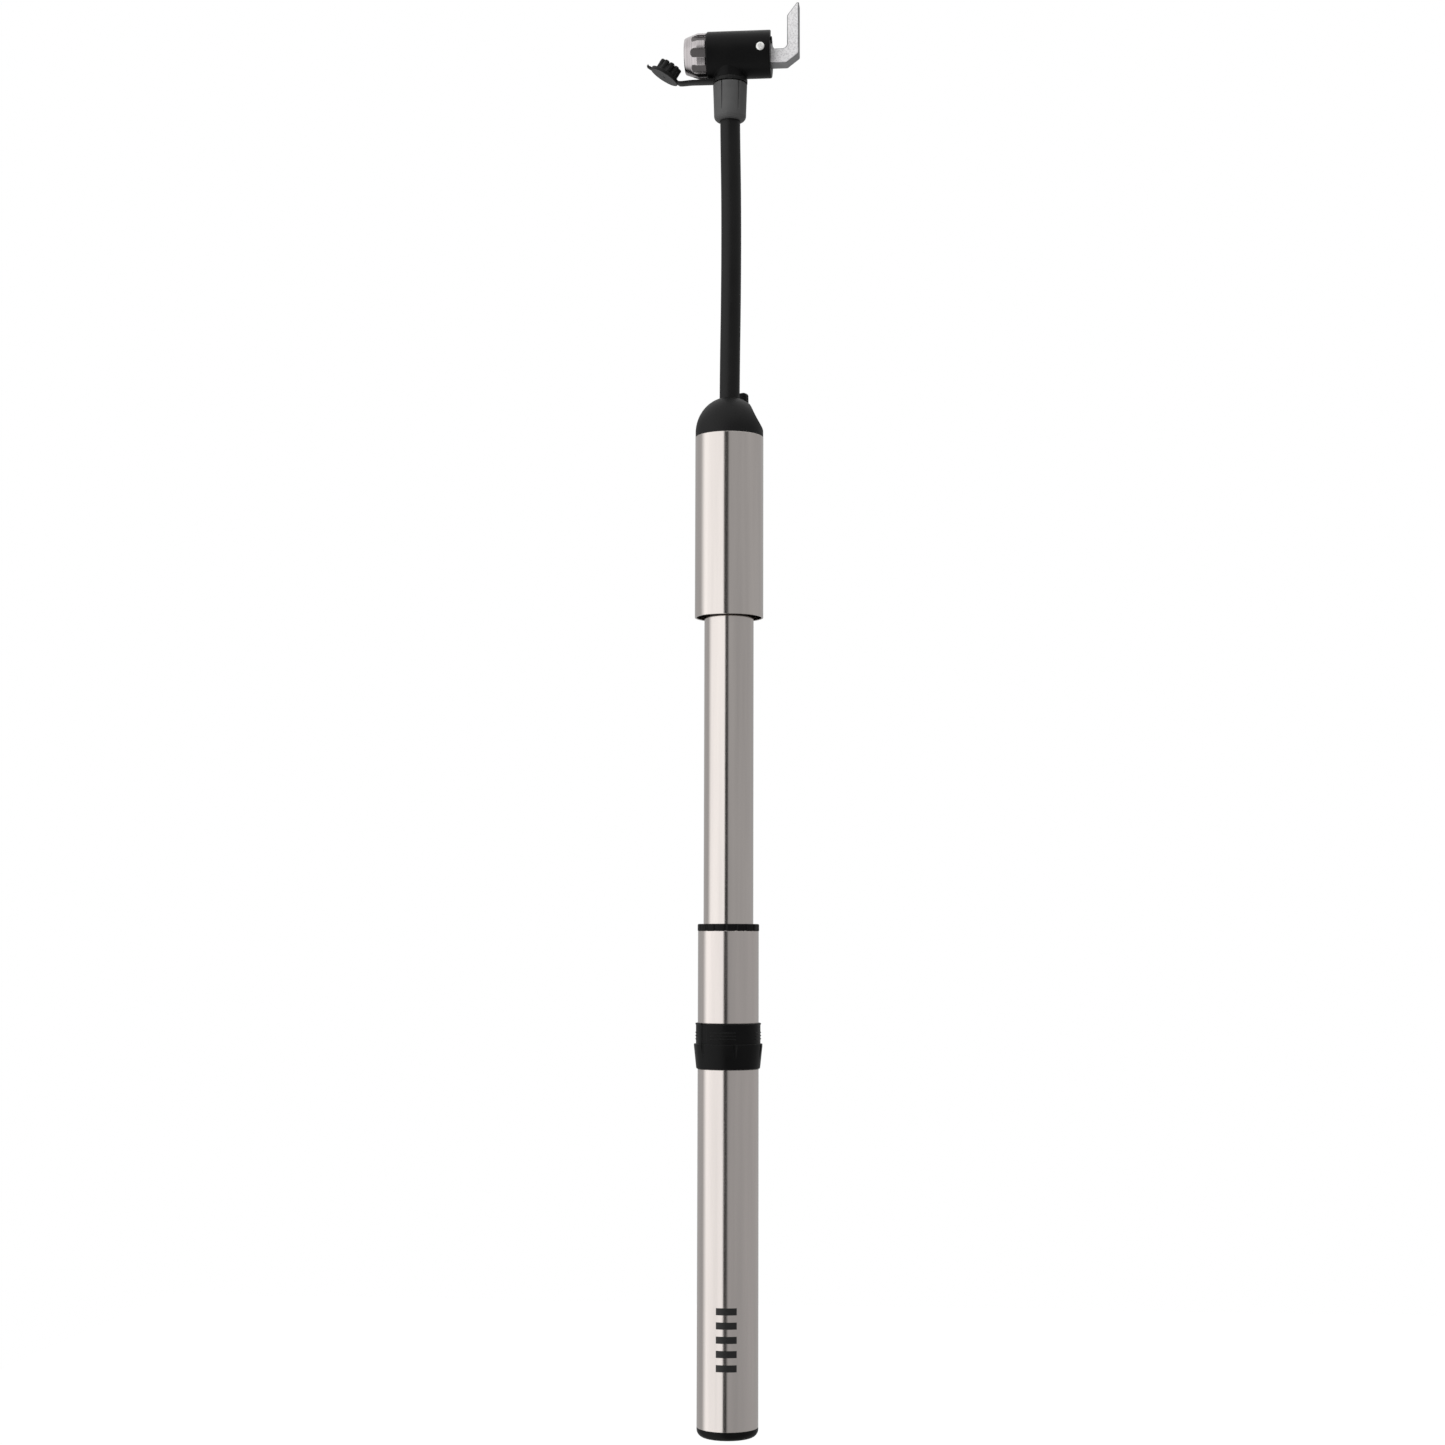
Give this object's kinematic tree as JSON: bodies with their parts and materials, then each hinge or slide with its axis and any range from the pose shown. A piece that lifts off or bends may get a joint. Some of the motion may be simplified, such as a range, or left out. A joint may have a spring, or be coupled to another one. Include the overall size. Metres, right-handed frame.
{
  "type": "mini hand pump",
  "caption": "Slim hand pump with a drawn-out tube handle, a pull-out rubber hose and a T-shaped valve head with thumb lever and dust cap.",
  "frame": {"origin": "centre of the flat face under the foot cap, on the pump's axis", "axes": "+Z along the pump's axis from foot to head, +X along the head from nozzle to lever, Y across the head"},
  "size_m": [0.0653, 0.0284, 0.5958],
  "materials": {
    "barrel_tube": "satin",
    "foot_cap": "satin",
    "foot_seal": "matte",
    "bumper_pad": "matte",
    "gland_nut": "satin",
    "wiper_ring": "matte",
    "guide_bush": "satin",
    "lock_collar": "satin",
    "inner_tube": "satin",
    "piston": "satin",
    "piston_seal": "matte",
    "valve_poppet": "satin",
    "valve_spring": "bright",
    "valve_retainer": "satin",
    "handle_sleeve": "satin",
    "sleeve_core": "satin",
    "dome_cap": "satin",
    "hose_gland": "matte",
    "hose": "satin",
    "hose_plug": "turned",
    "plug_seal": "matte",
    "ferrule": "satin",
    "swivel_stem": "turned",
    "swivel_seal": "matte",
    "swivel_clip": "bright",
    "head_body": "satin",
    "lever_pin": "bright",
    "valve_gasket": "matte",
    "nozzle_nut": "turned",
    "plunger": "satin",
    "plunger_seal": "matte",
    "lever": "satin",
    "cap_strap": "matte",
    "dust_cap": "matte",
    "cap_disc": "satin"
  },
  "bodies": {
    "barrel": {"barrel_tube": "barrel_tube", "foot_cap": "foot_cap", "foot_seal": "foot_seal", "bumper_pad": "bumper_pad", "gland_nut": "gland_nut", "wiper_ring": "wiper_ring", "guide_bush": "guide_bush", "lock_collar": "lock_collar"},
    "seal": {"piston_seal": "piston_seal"},
    "handle": {"inner_tube": "inner_tube", "piston": "piston", "valve_spring": "valve_spring", "valve_retainer": "valve_retainer", "handle_sleeve": "handle_sleeve", "sleeve_core": "sleeve_core", "dome_cap": "dome_cap", "hose_gland": "hose_gland"},
    "poppet": {"valve_poppet": "valve_poppet"},
    "hose": {"hose": "hose", "hose_plug": "hose_plug", "plug_seal": "plug_seal", "ferrule": "ferrule", "swivel_stem": "swivel_stem", "swivel_seal": "swivel_seal", "swivel_clip": "swivel_clip"},
    "head": {"head_body": "head_body", "lever_pin": "lever_pin", "valve_gasket": "valve_gasket", "cap_strap": "cap_strap"},
    "nut": {"nozzle_nut": "nozzle_nut"},
    "plunger": {"plunger": "plunger", "plunger_seal": "plunger_seal"},
    "lever": {"lever": "lever"},
    "dust_cap": {"dust_cap": "dust_cap", "cap_disc": "cap_disc"}
  },
  "joints": [
    {"name": "handle_slide", "type": "slide", "parent": "barrel", "child": "seal", "axis": [0, 0, 1], "range_m": [-0.1759, 0]},
    {"name": "handle_turn", "type": "hinge", "parent": "seal", "child": "handle", "pos_m": [0, 0, 0.191], "axis": [0, 0, 1], "continuous": true},
    {"name": "poppet_lift", "type": "slide", "parent": "handle", "child": "poppet", "axis": [0, 0, 1], "range_m": [0, 0.0014], "stiffness_N_per_m": 200, "springref_m": -0.002, "deforming": ["valve_spring"]},
    {"name": "hose_slide", "type": "slide", "parent": "handle", "child": "hose", "axis": [0, 0, 1], "range_m": [-0.12, 0]},
    {"name": "head_swivel", "type": "hinge", "parent": "hose", "child": "head", "pos_m": [0, 0, 0.5648], "axis": [0, 0, 1], "continuous": true},
    {"name": "nut_turn", "type": "hinge", "parent": "head", "child": "nut", "pos_m": [-0.0117, 0, 0.5748], "axis": [1, 0, 0], "continuous": true},
    {"name": "lever_pivot", "type": "hinge", "parent": "head", "child": "lever", "pos_m": [0.0136, 0, 0.5748], "axis": [0, -1, 0], "range_deg": [0, 90]},
    {"name": "plunger_slide", "type": "slide", "parent": "head", "child": "plunger", "axis": [-1, 0, 0], "range_m": [0, 0.00225]},
    {"name": "cap_hinge", "type": "hinge", "parent": "head", "child": "dust_cap", "pos_m": [-0.0169, 0, 0.5637], "axis": [0, 1, 0], "range_deg": [-45, 59], "stiffness_Nm_per_rad": 0.01}
  ],
  "couplings": [
    {"joint": "plunger_slide", "follows": "lever_pivot", "m_per_rad": 0.0014006}
  ]
}
